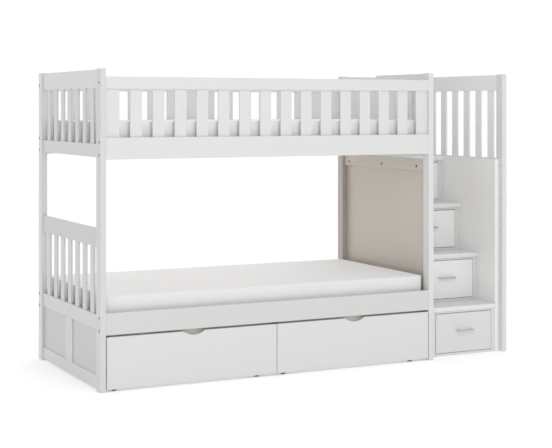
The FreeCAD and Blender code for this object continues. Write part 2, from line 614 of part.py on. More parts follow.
def caster_fork(x, y):
    """A plate with two cheeks and a riveted axle, screwed under the drawer floor."""
    axle_z = WHEEL_DIAMETER / 2
    cheek_in = WHEEL_WIDE / 2 + FORK_SIDE_GAP
    cheek_out = cheek_in + FORK_CHEEK_THICK
    plate_z = (ROLL_FLOOR_Z - FORK_PLATE_THICK, ROLL_FLOOR_Z)
    plate_half = cheek_out + FORK_FLANGE
    plate_y = (y - FORK_PLATE_LONG / 2, y + FORK_PLATE_LONG / 2)
    fork = block((x - plate_half, x + plate_half), plate_y, plate_z)
    cheek_y = (y - FORK_CHEEK_WIDE / 2, y + FORK_CHEEK_WIDE / 2)
    for low, high in ((-cheek_out, -cheek_in), (cheek_in, cheek_out)):
        fork = fork.fuse(block((x + low, x + high), cheek_y, (axle_z, plate_z[0])))
        fork = fork.fuse(rod_between((x + low, x + high), y, axle_z, FORK_CHEEK_WIDE))
    fork = fork.fuse(rod_between((x - cheek_out, x + cheek_out), y, axle_z, AXLE_DIAMETER))
    return fork.removeSplitter().Solids[0]


def caster_wheel(x, y):
    """A wheel with rounded shoulders, dished sides and a bored hub."""
    axle_z = WHEEL_DIAMETER / 2
    half = WHEEL_WIDE / 2
    wheel = rod_between((x - half, x + half), y, axle_z, WHEEL_DIAMETER)
    rims = [edge for edge in wheel.Edges if edge.BoundBox.XLength < FIT]
    wheel = wheel.makeFillet(WHEEL_ROUND, rims)
    for side_x in ((x - half, x - half + WEB_SINK), (x + half - WEB_SINK, x + half)):
        dish = rod_between(side_x, y, axle_z, RIM_DIAMETER).cut(rod_between(side_x, y, axle_z, HUB_DIAMETER))
        wheel = wheel.cut(dish)
    bore = rod_between((x - half, x + half), y, axle_z, AXLE_DIAMETER + 2 * AXLE_PLAY)
    return wheel.cut(bore).Solids[0]


def write_pieces():
    """Move every piece to the middle of the footprint and write one file per node."""
    os.makedirs("parts", exist_ok=True)
    to_middle = FreeCAD.Vector(-TOTAL_LENGTH / 2, -BED_DEPTH / 2, 0)
    for name, solids in pieces.items():
        shape = solids[0].copy() if len(solids) == 1 else Part.makeCompound(solids)
        shape.translate(to_middle)
        shape.exportStep("parts/%s.step" % name)


make_left_end()
make_right_end()
make_side_rails()
make_bunk_base(UPPER_RAIL_Z, "upper_mattress")
make_bunk_base(LOWER_RAIL_Z, "lower_mattress")
make_stair_carcass()
make_roll_drawer("left_drawer", RAIL_SPAN[0] + ROLL_GAP)
make_roll_drawer("right_drawer", RAIL_SPAN[1] - ROLL_GAP - ROLL_WIDE)
add("post_front_left", post(0.0, 0.0))
add("post_back_left", post(0.0, REAR_POST_Y))
add("post_front_right", post(RIGHT_POST_X, 0.0))
add("post_back_right", post(RIGHT_POST_X, REAR_POST_Y))
write_pieces()
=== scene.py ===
import json
import math

import bmesh
import bpy
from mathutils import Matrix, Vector


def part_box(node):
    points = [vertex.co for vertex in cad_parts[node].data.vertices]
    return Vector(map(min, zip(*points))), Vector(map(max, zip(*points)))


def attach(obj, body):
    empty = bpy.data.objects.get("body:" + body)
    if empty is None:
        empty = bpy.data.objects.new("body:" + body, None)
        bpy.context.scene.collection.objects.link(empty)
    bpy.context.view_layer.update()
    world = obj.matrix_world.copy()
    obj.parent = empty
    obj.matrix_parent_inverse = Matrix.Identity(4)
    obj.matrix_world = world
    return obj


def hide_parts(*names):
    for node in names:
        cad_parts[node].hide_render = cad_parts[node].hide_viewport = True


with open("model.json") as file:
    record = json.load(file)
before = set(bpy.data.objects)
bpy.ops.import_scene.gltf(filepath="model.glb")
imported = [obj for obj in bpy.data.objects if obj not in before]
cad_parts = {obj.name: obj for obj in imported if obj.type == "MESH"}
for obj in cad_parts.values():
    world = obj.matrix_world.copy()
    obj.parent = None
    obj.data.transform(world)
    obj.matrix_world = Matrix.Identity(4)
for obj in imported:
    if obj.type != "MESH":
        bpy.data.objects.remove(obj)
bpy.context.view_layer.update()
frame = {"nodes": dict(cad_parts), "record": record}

# The photograph's camera, fitted to the posts, rails and feet. Pixels are those of the photograph.
PHOTO_WIDE = 552
PHOTO_HIGH = 448
FOCAL_PIXELS = 1348.1
HORIZON_ROW = 107.47
CAMERA_PLACE = (-3.5731, -7.0742, 1.4548)
CAMERA_YAW = math.radians(-26.725)
SENSOR_WIDE = 36.0

# Studio
WHITE = (1.0, 1.0, 1.0, 1.0)
FLOOR_REACH = 40.0
FLOOR_COLOR = (0.88, 0.88, 0.88, 1.0)
FLOOR_ROUGHNESS = 0.9
FLOOR_GLOSS = 0.1
FLOOR_GLOW = 0.295
SKY_LIGHT = 0.34
SKY_BEHIND = 0.74
SKY_RIGHT = 0.42
SKY_TOP = 0.32
SKY_SEEN = 1.05
KEY_PLACE = (-1.2, -5.5, 4.0)
KEY_AIM = (0.7, 0.0, 0.8)
KEY_SIZE = 3.0
KEY_POWER = 110.0

# Colours of the finishes, linear
PAINT_PALE = (0.72, 0.72, 0.717, 1.0)
PAINT_DEEP = (0.70, 0.70, 0.697, 1.0)
# The next three colours are painted shade: the white paint darkened for the left end, its panels, its head
# rail and the lower side rails, which lie in shade.
PAINT_SHADED = (0.66, 0.66, 0.657, 1.0)
PAINT_PANEL_SHADED = (0.58, 0.58, 0.577, 1.0)
PAINT_HEAD_SHADED = (0.61, 0.61, 0.607, 1.0)
# The next three colours are painted light: the white paint lightened for the stairs, their treads, right
# panel, guard and drawers.
PAINT_LIT = (0.87, 0.87, 0.867, 1.0)
PAINT_TREAD_LIT = (0.80, 0.80, 0.797, 1.0)
PAINT_SIDE_LIT = (0.92, 0.92, 0.917, 1.0)
# This colour is both the rubbed paint on worn edges and the deep tone of the darkened painted-shade copy.
PAINT_WORN_AND_SHADED = (0.64, 0.64, 0.635, 1.0)
# The three taupe colours below are painted shade: the white paint darkened and warmed where the stair's left
# panel, its rail and the back right post lie in the lower bunk's shade.
TAUPE_SHADE_PALE = (0.60, 0.555, 0.50, 1.0)
TAUPE_SHADE_DEEP = (0.575, 0.53, 0.475, 1.0)
POST_SHADE_TAUPE = (0.50, 0.46, 0.415, 1.0)
PINE_PALE = (0.93, 0.87, 0.80, 1.0)
PINE_DEEP = (0.84, 0.745, 0.64, 1.0)
PINE_KNOT = (0.58, 0.43, 0.30, 1.0)
FABRIC_PALE = (0.98, 0.985, 0.995, 1.0)
FABRIC_DEEP = (0.945, 0.95, 0.96, 1.0)
# Painted shade: the mattress sides are made darker than the top.
FABRIC_SIDE_SHADE = (0.83, 0.83, 0.835, 1.0)
NICKEL_PALE = (0.66, 0.65, 0.63, 1.0)
NICKEL_DEEP = (0.52, 0.51, 0.49, 1.0)
OXIDE_PALE = (0.03, 0.03, 0.032, 1.0)
OXIDE_DEEP = (0.012, 0.012, 0.013, 1.0)
RUBBER_PALE = (0.035, 0.035, 0.036, 1.0)
RUBBER_DEEP = (0.016, 0.016, 0.017, 1.0)

# Patterns, in cycles per metre along and across the fibres
PAINT_GRAIN = (2.2, 95.0)
PINE_RINGS = (0.55, 8.0)
PINE_FIBRES = (6.0, 420.0)
PINE_KNOTS = (2.4, 5.2)
BRUSH_LINES = (30.0, 2600.0)
BRUSH_AXIS = 0
WEAVE_COURSES = 430.0
WEAVE_WALES = 301.0
WEAVE_STRAY = 0.8
WEAVE_DETAIL = 1.0
RING_STRAY = 7.5
RING_DETAIL = 2.0
RING_DETAIL_SCALE = 0.8

# Noises, each as its scale, detail and roughness
WEAR_NOISE = (26.0, 4.0, 0.5)
GRAIN_NOISE = (1.0, 5.0, 0.62)
PEEL_NOISE = (620.0, 1.0, 0.5)
BEND_NOISE = (1.6, 3.0, 0.5)
FIBRE_NOISE = (1.0, 3.0, 0.6)
CLOUD_NOISE = (5.0, 4.0, 0.6)
BRUSH_NOISE = (1.0, 2.0, 0.5)
SPARK_NOISE = (1500.0, 1.0, 0.5)
DUST_NOISE = (70.0, 4.0, 0.5)

# Parts of a pattern's range, from the value that gives nothing to the value that gives all
WHOLE = (0.0, 1.0)
WEAR_SPREAD = (0.42, 0.72)
GRAIN_SPREAD = (0.30, 0.75)
PEEL_SPREAD = (0.2, 0.8)
RING_SPREAD = (0.15, 1.0)
BEND_SPREAD = (0.35, 0.75)
FIBRE_SPREAD = (0.45, 0.80)
KNOT_SPREAD = (0.08, 0.03)
BRUSH_SPREAD = (0.3, 0.7)
DUST_SPREAD = (0.35, 0.75)
DUST_ROUGH_SPREAD = (0.3, 0.7)

# How far a face has to turn before it counts as an edge, a board across a box, a mattress side in painted
# shade or a post face in painted shade
EDGE_TURN = (0.99, 0.80)
ACROSS_TURN = (0.6, 0.7)
MATTRESS_SIDE_SHADE_TURN = (0.85, 0.35)
POST_SHADE_TURN = (0.45, 0.68)

# How much of a second colour a pattern brings
GRAIN_SHARE = 0.15
WEAR_SHARE = 0.2
RING_SHARE = 0.38
BEND_SHARE = 0.4
FIBRE_SHARE = 0.5
KNOT_SHARE = 0.8
CLOUD_SHARE = 0.5
LOOP_SHARE = 0.35

# Reliefs, each as its strength and its depth in metres
GRAIN_RELIEF = (0.04, 0.0006)
PEEL_RELIEF = (0.05, 0.0003)
FIBRE_RELIEF = (0.22, 0.0006)
RING_RELIEF = (0.08, 0.0006)
LOOP_RELIEF = (0.35, 0.0006)
CLOUD_RELIEF = (0.05, 0.003)
BRUSH_RELIEF = (0.06, 0.0002)
SPARK_RELIEF = (0.12, 0.0002)

# Roughness and gloss
PAINT_ROUGHNESS = (0.25, 0.33)
PINE_ROUGHNESS = (0.62, 0.48)
NICKEL_ROUGHNESS = (0.24, 0.38)
OXIDE_ROUGHNESS = (0.38, 0.52)
WHEEL_ROUGHNESS = (0.42, 0.62)
FORK_ROUGHNESS = (0.45, 0.65)
FABRIC_ROUGHNESS = 0.85
FABRIC_SHEEN = 0.25
FABRIC_SHEEN_ROUGHNESS = 0.5
FABRIC_GLOSS = 0.25
WEAR_REACH = 0.0022
WEAR_SAMPLES = 6

# Mattress covers, in metres
COVER_INSET = 0.004
COVER_LIFT = 0.0004
COVER_CORNER = 0.026
COVER_ROLL = 0.006
COVER_ROLL_CELLS = 3
COVER_STEP = 0.026
COVER_EDGE_STEP = 0.013
COVER_EDGE_HIGH = 0.009
COVER_PRESSURE = 4.0
COVER_QUALITY = 5
COVER_FRAMES = 20
COVER_MOST_MOVE = 0.0018
SEAM_RADIUS = 0.0016
SEAM_SIDES = 8

# Screw heads, in metres. A head's rings are shares of its radius and height, from its foot to its middle.
HEAD_SIDES = 12
HEAD_RINGS = ((1.0, 0.0), (0.94, 0.55), (0.72, 0.9), (0.5, 1.0), (0.46, 0.45), (0.0, 0.4))
PLATE_SCREW = (0.0032, 0.0016)
PULL_SCREW = (0.0045, 0.0020)
CLEAT_SCREW = (0.0042, 0.0014)
PLATE_HALF = (0.0235, 0.014)
PLATE_SCREW_OFF = (0.0185, 0.009)
PLATE_THICK = 0.003
PULL_HALF_SPREAD = 0.048
PULL_DROP = 0.102
CLEAT_SIDE = 0.024
CLEAT_SCREWS = 7
STAIR_DRAWERS = 4

# Nodes whose fibres run along X or Y. All other wooden nodes stand, with their fibres along Z.
ALONG_X = (
    "upper_side_rails", "lower_side_rails", "guard_top_rails", "slat_cleats", "stair_treads",
    "stair_face_frame", "stair_back_rail", "left_drawer_front", "right_drawer_front",
    "stair_drawer_1_front", "stair_drawer_2_front", "stair_drawer_3_front", "stair_drawer_4_front",
)
ALONG_Y = (
    "left_upper_top_rail", "left_upper_bottom_rail", "left_lower_top_rail", "left_lower_mid_rail",
    "left_lower_bottom_rail", "right_end_rails", "right_guard_top_rail", "right_stair_rail",
    "stair_guard_rails", "bed_slats", "stair_runners", "left_drawer_box", "right_drawer_box",
    "stair_drawer_1_box", "stair_drawer_2_box", "stair_drawer_3_box", "stair_drawer_4_box",
)

# Painted shade and painted light: darker and taupe copies of the white paint on faces that lie in shade,
# lighter copies on faces that catch more light, each with a pale and a deep colour and the nodes that have it
PAINTS = (
    ("taupe_painted_shade", TAUPE_SHADE_PALE, TAUPE_SHADE_DEEP, ("stair_left_panel", "right_stair_rail")),
    ("panel_painted_shade", PAINT_PANEL_SHADED, PAINT_PANEL_SHADED, ("left_panels",)),
    ("head_painted_shade", PAINT_HEAD_SHADED, PAINT_HEAD_SHADED, ("left_lower_top_rail",)),
    ("tread_painted_light", PAINT_TREAD_LIT, PAINT_PALE, ("stair_treads",)),
    ("side_painted_light", PAINT_SIDE_LIT, PAINT_LIT, ("stair_right_panel",)),
    ("dim_painted_shade", PAINT_SHADED, PAINT_WORN_AND_SHADED, (
        "left_upper_bottom_rail", "left_lower_mid_rail", "left_lower_bottom_rail", "left_end_slats",
        "left_panel_stile", "post_front_left", "lower_side_rails",
    )),
    ("bright_painted_light", PAINT_LIT, PAINT_PALE, (
        "stair_guard_rails", "stair_guard_slats", "stair_drawer_2_front", "stair_drawer_3_front",
        "stair_drawer_4_front",
    )),
)

# The white post whose faces towards the lower bunk get painted shade in taupe, between two heights
SHADED_POST = "post_back_right"
POST_SHADE_FACING = (-0.7, -0.7, 0.0)
POST_SHADE_HEIGHTS = (0.404, 1.190)
POST_SHADE_FADE = 0.003

# Input and output sockets of a mixing node, by what it mixes
MIX_SHARE = 0
MIX_SOCKETS = {"VECTOR": (4, 5, 1), "RGBA": (6, 7, 2)}


def new_material(name):
    """A node material, its tree and its main shader."""
    material = bpy.data.materials.new(name)
    material.use_nodes = True
    tree = material.node_tree
    return material, tree, tree.nodes["Principled BSDF"]


def feed(tree, value, socket):
    """Link an output to an input, or set a plain value on the input."""
    if isinstance(value, bpy.types.NodeSocket):
        tree.links.new(value, socket)
    else:
        socket.default_value = value


def node(tree, kind, settings=(), **inputs):
    """A shader node with its settings and input values."""
    made = tree.nodes.new(kind)
    for name, value in dict(settings).items():
        setattr(made, name, value)
    for name, value in inputs.items():
        feed(tree, value, made.inputs[name.replace("_", " ")])
    return made


def calculation(tree, operation, *values, kind="ShaderNodeMath"):
    """The number that an operation gives for some values."""
    made = node(tree, kind, {"operation": operation})
    for index, value in enumerate(values):
        feed(tree, value, made.inputs[index])
    return made.outputs["Value"]


def facing(tree, way, other=None):
    """How far a way, and the face's own normal or another way, point alike."""
    if other is None:
        other = node(tree, "ShaderNodeNewGeometry").outputs["Normal"]
    return calculation(tree, "DOT_PRODUCT", way, other, kind="ShaderNodeVectorMath")


def product(tree, *values):
    """Values multiplied together."""
    total = values[0]
    for value in values[1:]:
        total = calculation(tree, "MULTIPLY", total, value)
    return total


def remap(tree, value, limits, results=WHOLE):
    """A value moved from one range to another."""
    made = node(
        tree, "ShaderNodeMapRange", Value=value, From_Min=limits[0], From_Max=limits[1], To_Min=results[0],
        To_Max=results[1],
    )
    return made.outputs["Result"]


def blend(tree, kind, share, first, second):
    """A colour or a place between two others."""
    made = node(tree, "ShaderNodeMix", {"data_type": kind})
    first_socket, second_socket, result = MIX_SOCKETS[kind]
    feed(tree, share, made.inputs[MIX_SHARE])
    feed(tree, first, made.inputs[first_socket])
    feed(tree, second, made.inputs[second_socket])
    return made.outputs[result]


def tinted(tree, pattern, spread, most, first, second):
    """A colour with up to a share of another one, where a pattern is strong."""
    return blend(tree, "RGBA", remap(tree, pattern, spread, (0.0, most)), first, second)


def object_place(tree):
    """The place on the object."""
    return node(tree, "ShaderNodeTexCoord").outputs["Object"]


def stretched(tree, place, scales):
    """A place stretched along each axis."""
    return node(tree, "ShaderNodeMapping", Vector=place, Scale=scales).outputs["Vector"]


def fibre_scales(axis, pattern):
    """Stretch factors of a pattern whose fibres run along one axis."""
    along, across = pattern
    return tuple(along if place == axis else across for place in range(3))


def board_place(tree):
    """The place on the object, with X and Y swapped on the faces of boards that run across a box."""
    place = object_place(tree)
    parts = node(tree, "ShaderNodeSeparateXYZ", Vector=place).outputs
    swapped = node(tree, "ShaderNodeCombineXYZ", X=parts["Y"], Y=parts["X"], Z=parts["Z"]).outputs["Vector"]
    normal = node(tree, "ShaderNodeNewGeometry").outputs["Normal"]
    across = node(tree, "ShaderNodeSeparateXYZ", Vector=normal).outputs["Y"]
    share = remap(tree, calculation(tree, "ABSOLUTE", across), ACROSS_TURN)
    return blend(tree, "VECTOR", share, place, swapped)


def noise_field(tree, place, kind):
    """Soft noise between 0 and 1."""
    scale, detail, roughness = kind
    made = node(tree, "ShaderNodeTexNoise", Vector=place, Scale=scale, Detail=detail, Roughness=roughness)
    return made.outputs["Fac"]


def bump(tree, height, relief, normal=None):
    """A normal roughened by a height."""
    strength, depth = relief
    made = node(tree, "ShaderNodeBump", Height=height, Strength=strength, Distance=depth)
    if normal is not None:
        tree.links.new(normal, made.inputs["Normal"])
    return made.outputs["Normal"]


def worn_edges(tree):
    """A mask that is 1 on convex and concave edges, broken up by noise."""
    rounded = node(tree, "ShaderNodeBevel", {"samples": WEAR_SAMPLES}, Radius=WEAR_REACH).outputs["Normal"]
    edge = remap(tree, facing(tree, rounded), EDGE_TURN)
    patches = noise_field(tree, object_place(tree), WEAR_NOISE)
    return product(tree, edge, remap(tree, patches, WEAR_SPREAD))


def bunk_shade_mask(tree):
    """A mask of the faces that look into the lower bunk, where painted shade goes."""
    height = node(tree, "ShaderNodeSeparateXYZ", Vector=object_place(tree)).outputs["Z"]
    low, high = POST_SHADE_HEIGHTS
    above = remap(tree, height, (low, low + POST_SHADE_FADE))
    below = remap(tree, height, (high, high - POST_SHADE_FADE))
    return product(tree, remap(tree, facing(tree, POST_SHADE_FACING), POST_SHADE_TURN), above, below)


def paint_of(name):
    """The name of a node's paint and its pale and deep colours."""
    for paint, pale, deep, nodes in PAINTS:
        if name in nodes:
            return paint, pale, deep
    return (name if name == SHADED_POST else "white_paint"), PAINT_PALE, PAINT_DEEP


def satin_paint(name, axis):
    """Satin lacquer over wood: the grain shows faintly and the edges are rubbed a little."""
    paint, pale, deep = paint_of(name)
    label = "%s_%s" % (paint, "xyz"[axis])
    if label in bpy.data.materials:
        return bpy.data.materials[label]
    material, tree, shader = new_material(label)
    place = object_place(tree)
    fibres = noise_field(tree, stretched(tree, place, fibre_scales(axis, PAINT_GRAIN)), GRAIN_NOISE)
    peel = noise_field(tree, place, PEEL_NOISE)
    shade = tinted(tree, fibres, GRAIN_SPREAD, GRAIN_SHARE, pale, deep)
    # Painted shade in taupe on the post's faces towards the lower bunk.
    if name == SHADED_POST:
        shade = blend(tree, "RGBA", bunk_shade_mask(tree), shade, POST_SHADE_TAUPE)
    wear = product(tree, worn_edges(tree), WEAR_SHARE)
    tree.links.new(blend(tree, "RGBA", wear, shade, PAINT_WORN_AND_SHADED), shader.inputs["Base Color"])
    tree.links.new(remap(tree, peel, PEEL_SPREAD, PAINT_ROUGHNESS), shader.inputs["Roughness"])
    relief = bump(tree, fibres, GRAIN_RELIEF)
    tree.links.new(bump(tree, peel, PEEL_RELIEF, relief), shader.inputs["Normal"])
    return material


def bare_pine(axis):
    """Sanded softwood with growth rings, fine fibres and a few knots."""
    label = "bare_pine_%s" % "xyz"[axis]
    if label in bpy.data.materials:
        return bpy.data.materials[label]
    material, tree, shader = new_material(label)
    spot = board_place(tree) if axis == 1 else object_place(tree)
    place = stretched(tree, spot, fibre_scales(axis, PINE_RINGS))
    bend = noise_field(tree, place, BEND_NOISE)
    rings = node(
        tree, "ShaderNodeTexWave",
        {"wave_type": "RINGS", "rings_direction": "XYZ"[axis], "wave_profile": "SAW"},
        Vector=place, Scale=1.0, Distortion=RING_STRAY, Detail=RING_DETAIL, Detail_Scale=RING_DETAIL_SCALE,
    ).outputs["Fac"]
    fibres = noise_field(tree, stretched(tree, spot, fibre_scales(axis, PINE_FIBRES)), FIBRE_NOISE)
    ring_tone = tinted(tree, rings, RING_SPREAD, RING_SHARE, PINE_PALE, PINE_DEEP)
    warm_tone = tinted(tree, bend, BEND_SPREAD, BEND_SHARE, ring_tone, PINE_DEEP)
    fibre_tone = tinted(tree, fibres, FIBRE_SPREAD, FIBRE_SHARE, warm_tone, PINE_DEEP)
    spots = node(
        tree, "ShaderNodeTexVoronoi", Vector=stretched(tree, spot, fibre_scales(axis, PINE_KNOTS)), Scale=1.0,
        Randomness=1.0,
    ).outputs["Distance"]
    knotted = tinted(tree, spots, KNOT_SPREAD, KNOT_SHARE, fibre_tone, PINE_KNOT)
    tree.links.new(knotted, shader.inputs["Base Color"])
    tree.links.new(remap(tree, rings, WHOLE, PINE_ROUGHNESS), shader.inputs["Roughness"])
    relief = bump(tree, fibres, FIBRE_RELIEF)
    tree.links.new(bump(tree, rings, RING_RELIEF, relief), shader.inputs["Normal"])
    return material


def woven_bands(tree, place, direction, scale):
    """Soft bands across one direction."""
    made = node(
        tree, "ShaderNodeTexWave",
        {"wave_type": "BANDS", "bands_direction": direction, "wave_profile": "SIN"},
        Vector=place, Scale=scale, Distortion=WEAVE_STRAY, Detail=WEAVE_DETAIL,
    )
    return made.outputs["Fac"]


def cover_fabric():
    """A fine white knit with a soft nap, and painted shade that makes the sides darker."""
    material, tree, shader = new_material("cover_fabric")
    place = object_place(tree)
    courses = woven_bands(tree, place, "X", WEAVE_COURSES)
    wales = woven_bands(tree, place, "Y", WEAVE_WALES)
    loops = product(tree, courses, wales)
    cloud = noise_field(tree, place, CLOUD_NOISE)
    tone = tinted(tree, cloud, WHOLE, CLOUD_SHARE, FABRIC_PALE, FABRIC_DEEP)
    gaps = remap(tree, loops, WHOLE, (LOOP_SHARE, 0.0))
    knit = blend(tree, "RGBA", gaps, tone, FABRIC_DEEP)
    # The upright sides of the cover are made darker as painted shade.
    normal = node(tree, "ShaderNodeNewGeometry").outputs["Normal"]
    upright = node(tree, "ShaderNodeSeparateXYZ", Vector=normal).outputs["Z"]
    sides = remap(tree, upright, MATTRESS_SIDE_SHADE_TURN)
    tree.links.new(blend(tree, "RGBA", sides, knit, FABRIC_SIDE_SHADE), shader.inputs["Base Color"])
    shader.inputs["Roughness"].default_value = FABRIC_ROUGHNESS
    shader.inputs["Sheen Weight"].default_value = FABRIC_SHEEN
    shader.inputs["Sheen Roughness"].default_value = FABRIC_SHEEN_ROUGHNESS
    shader.inputs["Specular IOR Level"].default_value = FABRIC_GLOSS
    relief = bump(tree, loops, LOOP_RELIEF)
    tree.links.new(bump(tree, cloud, CLOUD_RELIEF, relief), shader.inputs["Normal"])
    return material


def brushed_metal(name, pale, deep, roughness):
    """Metal with fine brush lines."""
    material, tree, shader = new_material(name)
    place = stretched(tree, object_place(tree), fibre_scales(BRUSH_AXIS, BRUSH_LINES))
    lines = noise_field(tree, place, BRUSH_NOISE)
    tree.links.new(blend(tree, "RGBA", lines, pale, deep), shader.inputs["Base Color"])
    tree.links.new(remap(tree, lines, BRUSH_SPREAD, roughness), shader.inputs["Roughness"])
    shader.inputs["Metallic"].default_value = 1.0
    tree.links.new(bump(tree, lines, BRUSH_RELIEF), shader.inputs["Normal"])
    return material


def moulded_plastic(name, pale, deep, roughness):
    """Moulded plastic with a fine spark texture and dusty patches."""
    material, tree, shader = new_material(name)
    place = object_place(tree)
    spark = noise_field(tree, place, SPARK_NOISE)
    dust = noise_field(tree, place, DUST_NOISE)
    tree.links.new(tinted(tree, dust, DUST_SPREAD, 1.0, deep, pale), shader.inputs["Base Color"])
    tree.links.new(remap(tree, dust, DUST_ROUGH_SPREAD, roughness), shader.inputs["Roughness"])
    tree.links.new(bump(tree, spark, SPARK_RELIEF), shader.inputs["Normal"])
    return material


def dress(name, material):
    """Give a node its finish."""
    shown = frame["nodes"][name]
    if not shown.material_slots:
        shown.data.materials.append(material)
    for slot in shown.material_slots:
        slot.material = material


def fibre_axis(name):
    """The axis that a wooden node's fibres follow."""
    if name in ALONG_X:
        return 0
    if name in ALONG_Y:
        return 1
    return 2


def dress_nodes():
    """Give every node the finish of its material slot. The mattresses get theirs with their covers."""
    finishes = {
        "satin_steel": brushed_metal("satin_nickel", NICKEL_PALE, NICKEL_DEEP, NICKEL_ROUGHNESS),
        "dark_steel": brushed_metal("black_oxide", OXIDE_PALE, OXIDE_DEEP, OXIDE_ROUGHNESS),
        "wheel_plastic": moulded_plastic("wheel_plastic", RUBBER_PALE, RUBBER_DEEP, WHEEL_ROUGHNESS),
        "fork_metal": moulded_plastic("fork_coating", OXIDE_PALE, OXIDE_DEEP, FORK_ROUGHNESS),
    }
    for row in frame["record"]["subparts"]:
        name, slot = row["node"], row["material_slot"]
        if slot == "white_paint":
            dress(name, satin_paint(name, fibre_axis(name)))
        elif slot == "raw_pine":
            dress(name, bare_pine(fibre_axis(name)))
        elif slot in finishes:
            dress(name, finishes[slot])


def stations(length, corner):
    """Places from 0 to length, close together in the edge roll and wider apart in the middle."""
    edge = [COVER_ROLL * part / COVER_ROLL_CELLS for part in range(COVER_ROLL_CELLS + 1)]
    steps = max(1, round((corner - COVER_ROLL) / COVER_EDGE_STEP))
    edge += [COVER_ROLL + (corner - COVER_ROLL) * part / steps for part in range(1, steps + 1)]
    middle = length - 2 * corner
    cells = max(1, round(middle / COVER_STEP))
    inner = [corner + middle * part / cells for part in range(1, cells)]
    return edge + inner + [length - place for place in reversed(edge)]


def round_corner(a, b, radius):
    """Pull two distances that reach into a square corner onto a round one."""
    over_a, over_b = radius - a, radius - b
    if over_a <= 0 or over_b <= 0:
        return a, b
    share = max(over_a, over_b) / math.hypot(over_a, over_b)
    return radius - over_a * share, radius - over_b * share


def rounded_place(place, size):
    """A point of a plain block moved onto the block with rounded corners and rolled edges."""
    sides = [min(value, length - value) for value, length in zip(place, size)]
    side_x, side_y = round_corner(sides[0], sides[1], COVER_CORNER)
    edge, height = round_corner(min(side_x, side_y), sides[2], COVER_ROLL)
    inward = edge - min(side_x, side_y)
    if side_x <= side_y:
        side_x += inward
    if side_y <= side_x - inward:
        side_y += inward
    moved = []
    for value, length, side in zip(place, size, (side_x, side_y, height)):
        moved.append(side if value <= length / 2 else length - side)
    return Vector(moved)


def cover_shape(low, high):
    """A closed mesh of quads over a block with rounded corners and rolled edges, and its two edge rings."""
    size = high - low
    across_x = stations(size.x, COVER_CORNER)
    across_y = stations(size.y, COVER_CORNER)
    up = stations(size.z, COVER_EDGE_HIGH)
    last = (len(across_x) - 1, len(across_y) - 1, len(up) - 1)
    mesh = bmesh.new()
    made = {}

    def corner(i, j, k):
        """The point at one place of the grid, made once."""
        if (i, j, k) not in made:
            made[i, j, k] = mesh.verts.new(rounded_place((across_x[i], across_y[j], up[k]), size) + low)
        return made[i, j, k]

    for fixed in range(3):
        first, second = [axis for axis in range(3) if axis != fixed]
        for end in (0, last[fixed]):
            for p in range(last[first]):
                for q in range(last[second]):
                    loop = []
                    for step_p, step_q in ((0, 0), (1, 0), (1, 1), (0, 1)):
                        place = [end, end, end]
                        place[first], place[second] = p + step_p, q + step_q
                        loop.append(corner(*place))
                    mesh.faces.new(loop)
    mesh.verts.index_update()
    around = [(i, 0) for i in range(last[0])]
    around += [(last[0], j) for j in range(last[1])]
    around += [(i, last[1]) for i in range(last[0], 0, -1)]
    around += [(0, j) for j in range(last[1], 0, -1)]
    rings = [[made[i, j, k].index for i, j in around] for k in (0, last[2])]
    return mesh, rings


def swell(piece, resting):
    """Blow the cover up a little with a cloth simulation, hold its underside and limit how far it moves."""
    starts = [vertex.co.copy() for vertex in piece.data.vertices]
    group = piece.vertex_groups.new(name="resting")
    group.add(resting, 1.0, "REPLACE")
    cloth = piece.modifiers.new("swell", "CLOTH")
    cloth.settings.use_pressure = True
    cloth.settings.uniform_pressure_force = COVER_PRESSURE
    cloth.settings.vertex_group_mass = "resting"
    cloth.settings.effector_weights.gravity = 0.0
    cloth.settings.quality = COVER_QUALITY
    cloth.point_cache.frame_start = 1
    cloth.point_cache.frame_end = COVER_FRAMES
    scene = bpy.context.scene
    for moment in range(1, COVER_FRAMES + 1):
        scene.frame_set(moment)
    swollen = piece.evaluated_get(bpy.context.evaluated_depsgraph_get())
    places = [vertex.co.copy() for vertex in swollen.data.vertices]
    piece.modifiers.remove(cloth)
    scene.frame_set(1)
    for vertex, start, place in zip(piece.data.vertices, starts, places):
        move = place - start
        if move.length > COVER_MOST_MOVE:
            move *= COVER_MOST_MOVE / move.length
        vertex.co = start + move


def finished_piece(name, mesh, material):
    """A shown object from an edited mesh."""
    bmesh.ops.recalc_face_normals(mesh, faces=mesh.faces)
    data = bpy.data.meshes.new(name)
    mesh.to_mesh(data)
    mesh.free()
    data.polygons.foreach_set("use_smooth", [True] * len(data.polygons))
    piece = bpy.data.objects.new(name, data)
    bpy.context.scene.collection.objects.link(piece)
    data.materials.append(material)
    return piece


def seam_cord(name, places, fabric):
    """A thin sewn cord round an edge, as a closed tube."""
    mesh = bmesh.new()
    count = len(places)
    rows = []
    for index, place in enumerate(places):
        along = (places[(index + 1) % count] - places[index - 1]).normalized()
        out = along.cross(Vector((0, 0, 1))).normalized()
        row = []
        for side in range(SEAM_SIDES):
            turn = 2 * math.pi * side / SEAM_SIDES
            offset = out * math.cos(turn) + Vector((0, 0, math.sin(turn)))
            row.append(mesh.verts.new(place + offset * SEAM_RADIUS))
        rows.append(row)
    for index in range(count):
        join_rings(mesh, rows[index], rows[(index + 1) % count])
    return finished_piece(name, mesh, fabric)


def join_rings(mesh, lower, upper):
    """A band of quads between two rings with as many points."""
    for side in range(len(lower)):
        beside = (side + 1) % len(lower)
        mesh.faces.new((lower[side], lower[beside], upper[beside], upper[side]))


